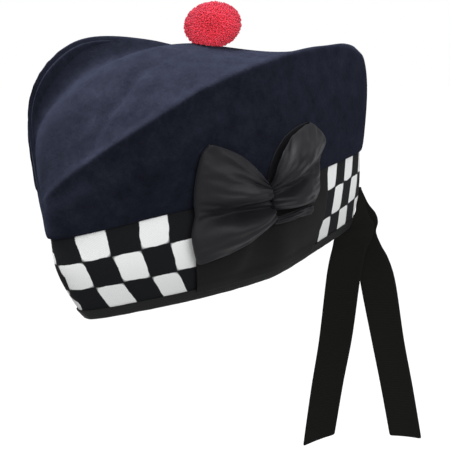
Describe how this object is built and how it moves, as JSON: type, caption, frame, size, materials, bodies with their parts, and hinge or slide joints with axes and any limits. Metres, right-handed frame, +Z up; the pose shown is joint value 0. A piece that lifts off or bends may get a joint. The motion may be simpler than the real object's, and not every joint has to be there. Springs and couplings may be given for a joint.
{
  "type": "glengarry",
  "caption": "Boat-shaped soft wool cap with a diced band, a ribbon bow on the left side, ribbon tails at the back and a round pompom on the sunk crown.",
  "frame": {"origin": "middle of the rim, where the cap sits on a head", "axes": "+Z up, -Y to the front of the cap, +X to the wearer's left, with the rim pitched front down as it is worn"},
  "size_m": [0.1425, 0.3346, 0.398],
  "materials": {
    "wool": "matt navy milled wool",
    "dicing": "woven wool strip in black and white checks",
    "binding_ribbon": "black ribbed ribbon",
    "bow_ribbon": "black ribbon with a soft sheen",
    "tail_ribbon": "black ribbed ribbon",
    "toorie_yarn": "red wool yarn pompom"
  },
  "bodies": {
    "root": {"crown": "wool", "diced_band": "dicing", "rim_binding": "binding_ribbon", "bow_backing": "bow_ribbon", "bow": "bow_ribbon", "tail_left": "tail_ribbon", "tail_right": "tail_ribbon", "toorie": "toorie_yarn"}
  },
  "joints": []
}
